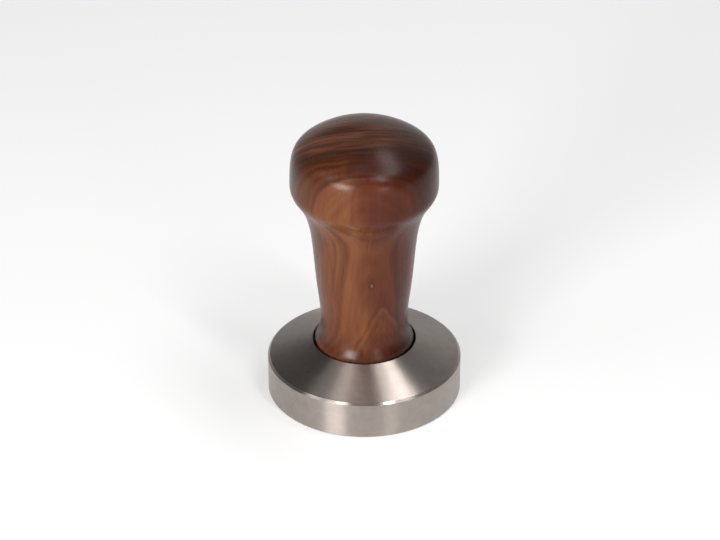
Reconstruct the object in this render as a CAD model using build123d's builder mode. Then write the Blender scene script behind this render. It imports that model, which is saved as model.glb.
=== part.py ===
from build123d import *
from math import ceil, floor, radians, tan
import os

# An espresso tamper, in millimetres, turned about +Z and standing on the flat face that presses
# the coffee, at z = 0. A walnut handle screws into a solid steel base. Its separate pieces are:
#
#   base           steel puck with a low cone, a shallow recess and a blind M8 hole
#   foot_washer    rubber ring carried on the stud, between the recess floor and the handle
#   handle         one piece of walnut, with a stepped bore in its foot
#   handle_insert  brass bush glued into that bore, tapped M8 right through
#   stud           M8 set screw locked in the insert, screwed into the base

# ---------------------------------------------------------------- driving dimensions

# base
base_r = 29.0  # slips into a 58 mm filter basket
rim_top_z = 11.1  # top of the straight rim
rim_bevel = 0.65  # 45 degree bevel between rim and cone
face_bevel = 0.4  # around the tamping face
cone_top_z = 16.9
recess_r = 15.4
recess_floor_z = 14.0
recess_bevel = 0.15  # broken edge at the recess mouth

# M8 x 1.25 thread, right-handed
thread_r = 4.0
thread_pitch = 1.25
flank_angle = 30.0
stud_play = 0.08  # the stud's tooth is this much slimmer on each flank, and lower at its crest
hole_play = 0.05  # and a tapped groove is this much deeper than the tooth's full height
thread_overlap = 0.2  # a tooth is drawn this much past the wall that it joins
hole_r = 3.35  # tapping drill
hole_mouth_r = 4.35  # countersink at each tapped mouth
drill_angle = 59.0  # half the angle of a drill's point

# depths along the axis
drill_floor_z = 4.5
groove_floor_z = 5.0
stud_z = 6.0
stud_length = 25.0
washer_thickness = 1.0

# rubber washer
washer_r = 15.1
washer_hole_r = 4.15
washer_round = 0.25

# brass insert
insert_r = 6.0
insert_length = 16.0
insert_bevel = 0.6
flange_r = 8.0
flange_thickness = 1.5
glue_gap = 0.05  # between the brass and the wood
knurled_bands = 3
knurl_ribs = 24
knurl_depth = 0.3
glue_groove_depth = 0.6
glue_groove_share = 0.35  # of each band's height

# stud
stud_root_r = 3.2
stud_end_r = 3.0  # of the flat left by the bevel on each end
socket_across_flats = 4.0
socket_depth = 5.0

# handle: (radius, height) wherever its outline bends, from the flared foot up to the dome
foot_r = 14.88
foot_bevel = 0.5
foot_top = (foot_r, 16.5)
cove = (14.11, 19.0)
hollow = (13.13, 22.0)
waist = (12.97, 24.6)
shank = (14.07, 36.0)
neck = (15.35, 50.0)
throat = (17.31, 60.0)
shoulder = (19.26, 64.0)
knob_corner = (20.75, 66.2)
knob_edge = (21.55, 68.0)
widest = (21.74, 71.0)
flank = (21.5, 76.0)
crown = (20.44, 80.0)
dome_edge = (16.0, 84.0)
dome_top_z = 88.6

# ---------------------------------------------------------------- places worked out from them

foot_z = recess_floor_z + washer_thickness
insert_top_z = foot_z + insert_length
stud_top_z = stud_z + stud_length
bore_top_z = insert_top_z + 1.0
bore_r = insert_r + glue_gap
dome_rise = dome_top_z - dome_edge[1]
dome_r = (dome_edge[0] ** 2 + dome_rise**2) / (2 * dome_rise)


def tooth_half_width(radius, play):
    """Half the axial width of the thread's tooth at a radius, less its play."""
    return thread_pitch / 16 + (thread_r - radius) * tan(radians(flank_angle)) - play


def thread_tooth(root_r, crest_r, play, low_z, high_z):
    """The thread's tooth as one helical solid, with faces of its own for each turn. Turns start
    at whole numbers of the pitch from z = 0, so that every tooth lies in the same helix."""
    with BuildPart() as tooth:
        with BuildLine() as helix:
            for turn in range(floor(low_z / thread_pitch), ceil(high_z / thread_pitch)):
                Helix(thread_pitch, thread_pitch, thread_r, center=(0, 0, turn * thread_pitch))
        path = helix.wires()[0]
        with BuildSketch(Plane(origin=path @ 0, x_dir=(1, 0, 0), z_dir=path % 0)):
            with BuildLine():
                low = tooth_half_width(root_r, play)
                high = tooth_half_width(crest_r, play)
                Polyline(
                    (root_r - thread_r, -low),
                    (crest_r - thread_r, -high),
                    (crest_r - thread_r, high),
                    (root_r - thread_r, low),
                    close=True,
                )
            make_face()
        sweep(path=path, is_frenet=True)
    return tooth.part


def tapped_hole(floor_z, groove_z, top_z):
    """What drilling down to floor_z and tapping down to groove_z take away, up to past top_z."""
    with BuildPart() as hole:
        with BuildSketch(Plane.XZ):
            with BuildLine():
                Polyline(
                    (0, floor_z - hole_r / tan(radians(drill_angle))),
                    (hole_r, floor_z),
                    (hole_r, top_z + 3 * thread_pitch),
                    (0, top_z + 3 * thread_pitch),
                    close=True,
                )
            make_face()
        revolve(axis=Axis.Z)
        add(thread_tooth(hole_r - thread_overlap, thread_r + hole_play, 0, groove_z, top_z + thread_pitch))
    return hole.part


def countersink(mouth_z, side):
    """The cone that opens a tapped mouth at mouth_z. It widens upwards where side is 1 and
    downwards where it is -1, and goes on past the mouth."""
    depth = hole_mouth_r - hole_r
    with BuildPart() as cone:
        with BuildSketch(Plane.XZ):
            with BuildLine():
                Polyline(
                    (0, mouth_z - side * depth),
                    (hole_r, mouth_z - side * depth),
                    (hole_mouth_r + depth, mouth_z + side * depth),
                    (0, mouth_z + side * depth),
                    close=True,
                )
            make_face()
        revolve(axis=Axis.Z)
    return cone.part


os.makedirs("parts", exist_ok=True)

# ---------------------------------------------------------------- base

with BuildPart() as base:
    with BuildSketch(Plane.XZ):
        with BuildLine():
            Polyline(
                (0, 0),
                (base_r - face_bevel, 0),
                (base_r, face_bevel),
                (base_r, rim_top_z),
                (base_r - rim_bevel, rim_top_z + rim_bevel),
                (recess_r + recess_bevel, cone_top_z),
                (recess_r, cone_top_z - recess_bevel),
                (recess_r, recess_floor_z),
                (0, recess_floor_z),
                close=True,
            )
        make_face()
    revolve(axis=Axis.Z)
    add(tapped_hole(drill_floor_z, groove_floor_z, recess_floor_z), mode=Mode.SUBTRACT)
    add(countersink(recess_floor_z, 1), mode=Mode.SUBTRACT)

base.part.label = "base"
export_step(base.part, "parts/base.step")

# ---------------------------------------------------------------- rubber washer

with BuildPart() as foot_washer:
    with BuildSketch(Plane.XY.offset(recess_floor_z)):
        Circle(washer_r)
        Circle(washer_hole_r, mode=Mode.SUBTRACT)
    extrude(amount=washer_thickness)
    fillet(foot_washer.edges().filter_by(GeomType.CIRCLE), washer_round)

foot_washer.part.label = "foot_washer"
export_step(foot_washer.part, "parts/foot_washer.step")

# ---------------------------------------------------------------- handle

with BuildPart() as handle:
    with BuildSketch(Plane.XZ):
        with BuildLine():
            underside = Line((0, foot_z), (foot_r - foot_bevel, foot_z))
            bevel = Line(underside @ 1, (foot_r, foot_z + foot_bevel))
            foot = Line(bevel @ 1, foot_top)
            side = Spline(
                foot @ 1, cove, hollow, waist, shank, neck, throat, shoulder, knob_corner,
                knob_edge, widest, flank, crown, dome_edge,
                tangents=[(0, 1), (dome_rise - dome_r, dome_edge[0])],
            )
            dome = TangentArc(side @ 1, (0, dome_top_z), tangent=side % 1)
            Line(dome @ 1, (0, foot_z))
        make_face()
    revolve(axis=Axis.Z)
    with BuildSketch(Plane.XZ):
        with BuildLine():
            Polyline(
                (0, foot_z),
                (flange_r + glue_gap, foot_z),
                (flange_r + glue_gap, foot_z + flange_thickness + glue_gap),
                (bore_r, foot_z + flange_thickness + glue_gap),
                (bore_r, bore_top_z),
                (0, bore_top_z + bore_r / tan(radians(drill_angle))),
                close=True,
            )
        make_face()
    revolve(axis=Axis.Z, mode=Mode.SUBTRACT)

handle.part.label = "handle"
export_step(handle.part, "parts/handle.step")

# ---------------------------------------------------------------- brass insert

band_z = foot_z + flange_thickness
band_height = (insert_length - flange_thickness - insert_bevel) / knurled_bands
groove_height = band_height * glue_groove_share

with BuildPart() as handle_insert:
    with BuildSketch(Plane.XZ):
        with BuildLine():
            Polyline(
                (0, foot_z),
                (flange_r, foot_z),
                (flange_r, band_z),
                (insert_r, band_z),
                (insert_r, insert_top_z - insert_bevel),
                (insert_r - insert_bevel, insert_top_z),
                (0, insert_top_z),
                close=True,
            )
        make_face()
        for band in range(knurled_bands):
            with Locations((insert_r, band_z + band * band_height + groove_height / 2)):
                Rectangle(2 * glue_groove_depth, groove_height, mode=Mode.SUBTRACT)
    revolve(axis=Axis.Z)
    for band in range(knurled_bands):
        with BuildSketch(Plane.XY.offset(band_z + band * band_height + groove_height)):
            with PolarLocations(insert_r, knurl_ribs):
                Rectangle(2 * knurl_depth, 2 * knurl_depth, rotation=45)
        extrude(amount=band_height - groove_height, mode=Mode.SUBTRACT)
    start_z = foot_z - 2 * thread_pitch
    add(tapped_hole(start_z - thread_pitch, start_z, insert_top_z), mode=Mode.SUBTRACT)
    add(countersink(foot_z, -1), mode=Mode.SUBTRACT)
    add(countersink(insert_top_z, 1), mode=Mode.SUBTRACT)

handle_insert.part.label = "handle_insert"
export_step(handle_insert.part, "parts/handle_insert.step")

# ---------------------------------------------------------------- stud

stud_tooth = thread_tooth(
    stud_root_r - thread_overlap, thread_r - stud_play, stud_play,
    stud_z - 2 * thread_pitch, stud_top_z + 2 * thread_pitch,
)
core_z = stud_z - 4 * thread_pitch
core_length = stud_length + 8 * thread_pitch
stud_taper = thread_r - stud_end_r

with BuildPart() as stud:
    with BuildSketch(Plane.XY.offset(core_z)):
        Circle(stud_root_r)
    extrude(amount=core_length)
    add(stud_tooth)
    with BuildSketch(Plane.XZ):
        with BuildLine():
            Polyline(
                (0, stud_z),
                (stud_end_r, stud_z),
                (thread_r, stud_z + stud_taper),
                (thread_r, stud_top_z - stud_taper),
                (stud_end_r, stud_top_z),
                (0, stud_top_z),
                close=True,
            )
        make_face()
    revolve(axis=Axis.Z, mode=Mode.INTERSECT)
    with BuildSketch(Plane.XY.offset(stud_z)):
        RegularPolygon(socket_across_flats / 2, 6, major_radius=False)
    extrude(amount=socket_depth, mode=Mode.SUBTRACT)

stud.part.label = "stud"
export_step(stud.part, "parts/stud.step")
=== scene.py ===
from math import cos, radians, sin

import bpy
from mathutils import Matrix, Vector


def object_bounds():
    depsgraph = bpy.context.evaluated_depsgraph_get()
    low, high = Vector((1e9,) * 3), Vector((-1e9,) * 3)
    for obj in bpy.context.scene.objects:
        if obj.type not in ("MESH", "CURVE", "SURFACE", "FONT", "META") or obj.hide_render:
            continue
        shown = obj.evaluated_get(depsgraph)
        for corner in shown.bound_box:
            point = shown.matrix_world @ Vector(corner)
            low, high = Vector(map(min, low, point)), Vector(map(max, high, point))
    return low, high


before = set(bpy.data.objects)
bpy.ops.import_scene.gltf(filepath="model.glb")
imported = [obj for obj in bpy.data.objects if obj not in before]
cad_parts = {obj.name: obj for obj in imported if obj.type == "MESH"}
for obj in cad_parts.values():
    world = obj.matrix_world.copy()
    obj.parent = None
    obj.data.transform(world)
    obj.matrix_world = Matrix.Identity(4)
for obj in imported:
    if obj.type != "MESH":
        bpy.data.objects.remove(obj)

cad_low, cad_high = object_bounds()
MM = 0.001


# ---------------------------------------------------------------- node shorthand


class Tree:
    """Builds one node tree. Every value may be a number, a tuple or another node's output."""

    def __init__(self, owner):
        owner.use_nodes = True
        self.nodes = owner.node_tree.nodes
        self.links = owner.node_tree.links
        self.nodes.clear()

    def node(self, kind, inputs=(), **settings):
        made = self.nodes.new(kind)
        for name, value in settings.items():
            setattr(made, name, value)
        for key, value in dict(inputs).items():
            self.feed(made.inputs[key], value)
        return made

    def feed(self, socket, value):
        if isinstance(value, bpy.types.NodeSocket):
            self.links.new(value, socket)
        else:
            socket.default_value = value

    def math(self, operation, *values):
        return self.node("ShaderNodeMath", enumerate(values), operation=operation).outputs[0]

    def plus(self, a, b):
        return self.math("ADD", a, b)

    def minus(self, a, b):
        return self.math("SUBTRACT", a, b)

    def times(self, a, b):
        return self.math("MULTIPLY", a, b)

    def add_up(self, start, *terms):
        """The start plus each term, which is a value and its weight."""
        total = start
        for value, weight in terms:
            total = self.math("MULTIPLY_ADD", value, weight, total)
        return total

    def split(self, vector):
        return self.node("ShaderNodeSeparateXYZ", {0: vector}).outputs

    def join(self, x, y, z):
        return self.node("ShaderNodeCombineXYZ", {0: x, 1: y, 2: z}).outputs[0]

    def length(self, vector):
        return self.node("ShaderNodeVectorMath", {0: vector}, operation="LENGTH").outputs["Value"]

    def stretch(self, vector, factors):
        """The vector with its x, y and z each multiplied by a factor."""
        return self.node("ShaderNodeVectorMath", {0: vector, 1: factors}, operation="MULTIPLY").outputs[0]

    def place_mm(self):
        """The point on the object, in millimetres of the part's own frame."""
        place = self.node("ShaderNodeTexCoord").outputs["Object"]
        return self.stretch(place, (1 / MM, 1 / MM, 1 / MM))

    def noise(self, vector, scale=1.0, detail=2.0, roughness=0.5):
        inputs = {"Vector": vector, "Scale": scale, "Detail": detail, "Roughness": roughness}
        return self.node("ShaderNodeTexNoise", inputs, noise_dimensions="3D").outputs["Fac"]

    def line_noise(self, place, scale=1.0, detail=2.0, roughness=0.5):
        """Noise that depends on one number."""
        inputs = {"W": place, "Scale": scale, "Detail": detail, "Roughness": roughness}
        return self.node("ShaderNodeTexNoise", inputs, noise_dimensions="1D").outputs["Fac"]

    def sway(self, noise, size):
        """Noise turned into a shift to either side."""
        return self.times(self.minus(noise, 0.5), size)

    def step(self, value, off, on):
        """0 where the value is off and beyond, 1 where it is on and beyond, smooth between them."""
        inputs = {"Value": value, "From Min": off, "From Max": on}
        return self.node("ShaderNodeMapRange", inputs, interpolation_type="SMOOTHSTEP").outputs[0]

    def near(self, value, centre, inner, outer):
        """1 within inner of the centre and 0 outside outer, smooth between them."""
        return self.step(self.math("ABSOLUTE", self.minus(value, centre)), outer, inner)

    def remap(self, value, low, high, to_low, to_high):
        inputs = {"Value": value, "From Min": low, "From Max": high, "To Min": to_low, "To Max": to_high}
        return self.node("ShaderNodeMapRange", inputs).outputs[0]

    def mix(self, share, a, b, blend="MIX"):
        """Colour a where the share is 0 and b where it is 1."""
        colour_a, colour_b, colour_out = 6, 7, 2  # sockets, among several with the same names
        inputs = {"Factor": share, colour_a: a, colour_b: b}
        made = self.node("ShaderNodeMix", inputs, data_type="RGBA", blend_type=blend)
        return made.outputs[colour_out]

    def tint(self, share, colour, by):
        """The colour, multiplied by another one as far as the share goes."""
        return self.mix(share, colour, by, blend="MULTIPLY")

    def ramp(self, value, stops):
        made = self.node("ShaderNodeValToRGB", {"Fac": value})
        elements = made.color_ramp.elements
        while len(elements) < len(stops):
            elements.new(0.5)
        for element, (place, colour) in zip(elements, stops):
            element.position = place
            element.color = colour
        return made.outputs["Color"]

    def bump(self, height, distance, strength):
        inputs = {"Height": height, "Distance": distance, "Strength": strength}
        return self.node("ShaderNodeBump", inputs).outputs["Normal"]

    def turning_tangent(self):
        """The direction that runs round the Z axis, as a lathe tool's marks do."""
        return self.node("ShaderNodeTangent", direction_type="RADIAL", axis="Z").outputs[0]

    def surface(self, **inputs):
        """The principled shader and its output. Names have _ where the socket has a space."""
        named = {key.replace("_", " "): value for key, value in inputs.items()}
        shader = self.node("ShaderNodeBsdfPrincipled", named)
        self.node("ShaderNodeOutputMaterial", {"Surface": shader.outputs[0]})


def material(name):
    made = bpy.data.materials.new(name)
    return made, Tree(made)


def grey(level):
    return (level, level, level, 1)


# ---------------------------------------------------------------- metals and rubber

ACROSS_MARKS = 0.25  # of a full turn, which stretches a highlight across the tool marks


def turned_steel():
    """Stainless steel with the fine circular marks of a lathe tool, satin, a little warm."""
    bevel_r = 28.35  # where the cone ends and the bevel begins
    rim_top_z = 11.1
    made, t = material("turned_stainless")
    place = t.place_mm()
    x, y, z = t.split(place)
    radius = t.length(t.join(x, y, 0))
    off_cone = t.step(radius, bevel_r - 0.15, bevel_r + 0.05)
    on_bevel = t.times(off_cone, t.step(z, rim_top_z, rim_top_z + 0.05))

    # tool marks, which waver slightly, and cloudiness
    wander = t.noise(place, scale=0.12, detail=2)
    across = t.join(t.add_up(radius, (wander, 0.15)), z, 0)
    fine = t.noise(across, scale=9.0, detail=3, roughness=0.7)
    broad = t.noise(across, scale=1.3, detail=2)
    cloud = t.noise(place, scale=0.35, detail=4, roughness=0.6)

    # hairline scratches from use, in two directions
    hairlines = 0.0
    for turn, stretch in ((0.6, (0.12, 4.5, 0.8)), (-0.9, (5.5, 0.10, 0.8))):
        turned = t.node("ShaderNodeVectorRotate", {"Vector": place, "Angle": turn}, rotation_type="Z_AXIS")
        scratch = t.noise(t.stretch(turned.outputs[0], stretch), detail=1)
        hairlines = t.math("MAXIMUM", hairlines, t.step(scratch, 0.70, 0.74))

    tone = t.add_up(0.0, (fine, 0.35), (cloud, 0.65))
    colour = t.ramp(tone, [(0.3, (0.40, 0.348, 0.315, 1)), (0.7, (0.47, 0.414, 0.378, 1))])
    colour = t.mix(t.times(hairlines, 0.35), colour, (0.27, 0.24, 0.22, 1))
    # the rim's side darker than the cone: painted shade, for the shaded floor close by that the rim
    # reflects
    colour = t.tint(t.minus(off_cone, on_bevel), colour, grey(0.86))
    colour = t.mix(on_bevel, colour, (0.41, 0.365, 0.34, 1))
    t.surface(
        Base_Color=colour,
        Metallic=1.0,
        Roughness=t.add_up(
            0.295, (fine, 0.048), (broad, 0.048), (off_cone, -0.05), (on_bevel, -0.03), (hairlines, 0.12)
        ),
        Normal=t.bump(t.add_up(fine, (broad, 0.6)), 0.004 * MM, 0.5),
        Anisotropic=0.95,
        Anisotropic_Rotation=ACROSS_MARKS,
        Tangent=t.turning_tangent(),
    )
    return made


def machined(name, dark, light, roughness):
    """A small turned metal piece, with the colour running from dark to light over its marks."""
    made, t = material(name)
    place = t.place_mm()
    x, y, z = t.split(place)
    radius = t.length(t.join(x, y, 0))
    marks = t.noise(t.join(radius, z, 0), scale=12.0, detail=3, roughness=0.65)
    cloud = t.noise(place, scale=0.9, detail=3)
    t.surface(
        Base_Color=t.ramp(t.add_up(0.0, (marks, 0.5), (cloud, 0.5)), [(0.3, dark), (0.7, light)]),
        Metallic=1.0,
        Roughness=t.add_up(roughness, (marks, 0.12)),
        Normal=t.bump(marks, 0.005 * MM, 0.5),
        Anisotropic=0.5,
        Anisotropic_Rotation=ACROSS_MARKS,
        Tangent=t.turning_tangent(),
    )
    return made


def rubber():
    made, t = material("black_rubber")
    place = t.place_mm()
    grain = t.noise(place, scale=6.0, detail=4, roughness=0.7)
    dust = t.noise(place, scale=0.8, detail=3)
    t.surface(
        Base_Color=t.ramp(dust, [(0.35, grey(0.008)), (0.75, grey(0.022))]),
        Roughness=t.add_up(0.6, (grain, 0.2)),
        Normal=t.bump(grain, 0.02 * MM, 0.6),
    )
    return made


# ---------------------------------------------------------------- walnut

# Millimetres of the part's own frame throughout: the grain runs along z and the front faces -y.
PITH_X, PITH_Y = -3.0, 34.0  # the growth rings' centre, behind the handle
RING_LEAN = 0.15  # in the outer wood they lie this much further back for each millimetre down
ARCH_X = 5.2  # the middle of the arches in the foot
OUTER_ARCH = 40.6  # the outermost arch, as foot_arch numbers them


def growth_ring(t, place):
    """Distance from the rings' centre, wavering a little."""
    x, y, _ = t.split(place)
    drift = t.sway(t.noise(t.stretch(place, (0.05, 0.05, 0.02)), detail=2), 3.0)
    return t.plus(t.length(t.join(t.minus(x, PITH_X), t.minus(y, PITH_Y), 0)), drift)


def foot_arch(t, place):
    """Where the rings run out at the foot they draw pointed arches one inside the other. The
    number of the arch through each point grows with the arch's height."""
    x, _, z = t.split(place)
    aside = t.minus(x, ARCH_X)
    aside = t.math("SQRT", t.math("MULTIPLY_ADD", aside, aside, 0.8))
    wobble = t.sway(t.noise(t.stretch(place, (0.30, 0.30, 0.12)), detail=3), 4.0)
    return t.plus(t.add_up(z, (aside, 2.2)), wobble)


def outer_wood(t, place, ring, fibre):
    """Pale wood at the front, redder to the right and in the foot, with painted shade on its right side
    and low on the foot.
    """
    x, y, z = t.split(place)
    leaning = t.add_up(ring, (z, -RING_LEAN))
    bands = t.noise(
        t.join(leaning, t.times(x, 0.03), t.times(z, 0.012)), scale=1.1, detail=3, roughness=0.55
    )
    arch = foot_arch(t, place)
    arches = t.line_noise(arch, scale=0.38, detail=3, roughness=0.6)
    in_arch = t.times(t.step(arch, OUTER_ARCH, OUTER_ARCH - 2.6), t.step(y, 4.0, -4.0))
    bands = t.mix(t.times(in_arch, 0.85), bands, arches)
    pale = t.ramp(t.add_up(0.0, (bands, 0.68), (fibre, 0.32)), [
        (0.30, (0.097, 0.027, 0.009, 1)),
        (0.48, (0.136, 0.043, 0.014, 1)),
        (0.68, (0.174, 0.062, 0.022, 1)),
    ])

    # the red starts nearer to the middle in the knob, and fades inside the arches
    patch = t.noise(t.stretch(place, (0.085, 0.085, 0.04)), detail=2)
    rightness = t.plus(t.plus(x, t.sway(patch, 20.0)), t.remap(z, 55.0, 68.0, 0.0, 5.5))
    # low in the foot it turns redder and darker: the wood's own tone, with painted shade next to the
    # recess
    low_down = t.step(t.add_up(z, (patch, 8.0)), 30.0, 21.0)
    arch_core = t.times(t.step(arch, OUTER_ARCH - 1.4, OUTER_ARCH - 5.1), t.step(z, 23.0, 27.0))
    redness = t.math("MAXIMUM", t.step(rightness, -2.0, 6.0), low_down)
    redness = t.times(redness, t.add_up(1.0, (arch_core, -0.38)))
    colour = t.tint(redness, pale, (0.60, 0.42, 0.48, 1))

    # darker on the right of the foot, on its front, on the right of the knob and on the shank's left:
    # painted shade on the right side, away from the key light, and on the foot's front beside the recess
    for across, along, by in (
        (t.step(x, 2.0, 11.0), low_down, (0.38, 0.34, 0.36, 1)),
        (t.step(x, -8.0, 0.0), t.step(z, 22.0, 17.0), (0.68, 0.76, 0.74, 1)),
        (t.step(x, 2.0, 9.0), t.step(z, 58.0, 65.0), (0.76, 0.66, 0.60, 1)),
        (t.step(x, -6.5, -9.0), t.step(z, 62.0, 56.0), (0.82, 0.78, 0.74, 1)),
    ):
        colour = t.tint(t.times(across, along), colour, by)

    # one darker growth ring, seen as a streak down the left of the shank
    dark_ring = 40.6
    streak = t.times(t.near(leaning, dark_ring, 0.05, 0.55), t.step(y, 0.0, -4.0))
    return t.tint(t.times(streak, 0.45), colour, (0.50, 0.42, 0.42, 1))


def add_heartwood(t, place, ring, colour):
    """The colour with dark streaked heartwood at the back, which reaches further forward the
    higher it is."""
    x, _, z = t.split(place)
    last_ring_low, last_ring_high = 33.5, 46.4  # of the heartwood, in the shank and in the dome
    last_ring = t.add_up(last_ring_low, (t.step(z, 36.0, 84.0), last_ring_high - last_ring_low))
    outside = t.minus(ring, last_ring)

    # the outer wood darkens towards it, partly its own tone and partly painted shade where the knob's top
    # faces up, with thin rings under the dome
    colour = t.tint(t.step(outside, 8.5, 5.0), colour, (0.54, 0.46, 0.46, 1))
    under_dome = t.step(z, 73.0, 79.0)
    for distance, strength in ((1.3, 0.5), (2.9, 0.6), (4.8, 0.32), (6.4, 0.22)):
        line = t.times(t.near(outside, distance, 0.1, 0.55), strength)
        colour = t.mix(t.times(line, under_dome), colour, (0.030, 0.010, 0.006, 1))

    # each streak runs far along its ring and along the grain, and is thin across them
    streaks = t.noise(
        t.join(ring, t.times(x, 0.07), t.times(z, 0.04)), scale=0.85, detail=4, roughness=0.62
    )
    heart = t.ramp(streaks, [
        (0.34, (0.038, 0.013, 0.008, 1)), (0.46, (0.066, 0.024, 0.014, 1)),
        (0.55, (0.094, 0.037, 0.022, 1)), (0.68, (0.140, 0.056, 0.034, 1)),
    ])
    # darker towards the right: painted shade on the side away from the key light
    heart = t.tint(t.step(x, 2.0, 16.0), heart, (0.55, 0.52, 0.55, 1))
    colour = t.mix(t.step(outside, 0.25, -0.15), colour, heart)

    # a nearly black line along its edge
    line = t.times(t.near(outside, -0.9, 0.6, 2.6), 0.7)
    return t.mix(line, colour, (0.024, 0.008, 0.005, 1))


def add_pin_knot(t, place, colour):
    """The colour with a small knot on the front of the shank, pale in a dark surround."""
    away = t.node("ShaderNodeVectorMath", {0: place, 1: (2.2, -14.6, 43.4)}, operation="SUBTRACT")
    away = t.length(t.stretch(away.outputs[0], (1.0, 1.0, 0.55)))
    colour = t.mix(t.minus(0.5, t.step(away, 0.6, 1.4)), colour, (0.04, 0.012, 0.006, 1))
    return t.mix(t.minus(0.6, t.step(away, 0.2, 0.6)), colour, (0.24, 0.11, 0.05, 1))


def walnut():
    """Oiled walnut, cut so that the growth rings lie across the front."""
    made, t = material("oiled_walnut")
    place = t.place_mm()
    ring = growth_ring(t, place)
    fibre = t.noise(t.stretch(place, (0.8, 0.8, 0.035)), detail=3, roughness=0.55)
    colour = outer_wood(t, place, ring, fibre)
    colour = add_heartwood(t, place, ring, colour)
    colour = add_pin_knot(t, place, colour)

    # open pores: short dark dashes along the grain
    pores = t.step(t.noise(t.stretch(place, (5.5, 5.5, 0.42)), detail=1), 0.66, 0.78)
    t.surface(
        Base_Color=t.mix(t.times(pores, 0.22), colour, (0.02, 0.008, 0.005, 1)),
        Roughness=t.add_up(0.24, (fibre, 0.08), (pores, 0.2)),
        Normal=t.bump(t.add_up(0.0, (fibre, 0.35), (pores, -1.0)), 0.02 * MM, 0.4),
        IOR=1.5,
        Specular_IOR_Level=0.2,
    )
    return made


# ---------------------------------------------------------------- the pieces' materials


def dress(node, look):
    """Gives a CAD node its material, in every slot."""
    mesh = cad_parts[node].data
    mesh.materials.clear()
    mesh.materials.append(look)
    for polygon in mesh.polygons:
        polygon.material_index = 0


dress("base", turned_steel())
dress("handle", walnut())
dress("foot_washer", rubber())
dress("handle_insert", machined("machined_brass", (0.60, 0.40, 0.15, 1), (0.78, 0.56, 0.26, 1), 0.25))
dress("stud", machined("plated_steel", (0.42, 0.42, 0.43, 1), (0.60, 0.60, 0.61, 1), 0.22))


# ---------------------------------------------------------------- floor


def make_floor():
    """A pale square that glows a little, just under the tamping face."""
    half = 4.0
    mesh = bpy.data.meshes.new("floor")
    corners = [(-half, -half, 0), (half, -half, 0), (half, half, 0), (-half, half, 0)]
    mesh.from_pydata(corners, [], [(0, 1, 2, 3)])
    floor = bpy.data.objects.new("floor", mesh)
    floor.location.z = cad_low.z - 0.02 * MM
    bpy.context.scene.collection.objects.link(floor)
    look, t = material("pale_floor")
    t.surface(
        Base_Color=grey(0.68), Roughness=0.7, Specular_IOR_Level=0.1,
        Emission_Color=grey(1.0), Emission_Strength=0.32,
    )
    mesh.materials.append(look)


make_floor()


# ---------------------------------------------------------------- light


def direction(azimuth, elevation):
    """Unit vector from the object. Azimuth 0 is towards the camera and positive to its right."""
    a, e = radians(azimuth), radians(elevation)
    return Vector((sin(a) * cos(e), -cos(a) * cos(e), sin(e)))


def softbox(name, towards, along, distance, width, length, watts):
    """A rectangular light that lies in one direction from the object and faces it. Its length
    runs along an axis."""
    middle = Vector((0, 0, 0.04))
    light = bpy.data.lights.new(name, "AREA")
    light.shape = "RECTANGLE"
    light.size = width
    light.size_y = length
    light.energy = watts
    lamp = bpy.data.objects.new(name, light)
    back = towards.normalized()
    side = along.cross(back).normalized()
    lamp.location = middle + back * distance
    lamp.rotation_euler = Matrix((side, back.cross(side), back)).transposed().to_euler()
    bpy.context.scene.collection.objects.link(lamp)


UP = Vector((0, 0, 1))

# name, direction, axis of the length, distance, width and length in metres, watts
softbox("left_softbox", direction(-32.5, 15), UP, 1.0, 0.36, 0.30, 8.7)
softbox("left_fill", direction(-66, 40), UP, 1.0, 0.30, 0.40, 0.8)
softbox("left_strip", direction(-31, 50), UP, 1.0, 0.16, 0.35, 0.8)
softbox("front_fill", Vector((-0.07, -0.13, 1)), Vector((0, 1, 0)), 1.1, 0.26, 0.28, 0.32)
softbox("right_strip", direction(36.5, 54), UP, 1.1, 0.07, 0.45, 2.45)
softbox("top_softbox", Vector((0.435, 0.03, 1)), Vector((-0.45, 0.89, 0)), 1.1, 0.26, 0.72, 3.5)
softbox("right_card", direction(29, 8), UP, 1.0, 0.22, 0.20, 1.0)


def make_world():
    """A light tent: bright behind, dimmer in front, to the right and above, darkest high up at
    the back on the left."""
    world = bpy.data.worlds.new("studio")
    bpy.context.scene.world = world
    t = Tree(world)
    towards = t.node("ShaderNodeTexCoord").outputs["Generated"]
    x, y, z = t.split(towards)
    around = t.mix(t.step(y, -0.1, 0.7), grey(0.26), grey(0.68))
    around = t.tint(t.step(x, 0.1, 0.8), around, grey(0.5))
    level = t.mix(t.step(z, 0.25, 0.75), around, grey(0.30))
    dark_side = {0: towards, 1: tuple(direction(-140, 50))}
    shade = t.node("ShaderNodeVectorMath", dark_side, operation="DOT_PRODUCT").outputs["Value"]
    level = t.mix(t.step(shade, 0.6, 0.95), level, grey(0.06))
    background = t.node("ShaderNodeBackground", {"Color": level, "Strength": 1.0})
    t.node("ShaderNodeOutputWorld", {"Surface": background.outputs[0]})


make_world()


# ---------------------------------------------------------------- camera


def make_camera():
    """A long lens, 31 degrees above the table, from 0.8 m away."""
    distance = 0.8
    elevation = 30.58
    aim = Vector((0, 0, 0.045))
    data = bpy.data.cameras.new("camera")
    data.sensor_width = 36.0
    data.lens = 135.64
    data.shift_x = -0.0059
    data.shift_y = -0.0197
    data.clip_start = 0.01
    camera = bpy.data.objects.new("camera", data)
    towards = direction(0, elevation)
    camera.location = aim + towards * distance
    camera.rotation_euler = (-towards).to_track_quat("-Z", "Y").to_euler()
    bpy.context.scene.collection.objects.link(camera)
    bpy.context.scene.camera = camera


make_camera()
bpy.context.scene.view_settings.view_transform = "Standard"
bpy.context.scene.view_settings.look = "None"
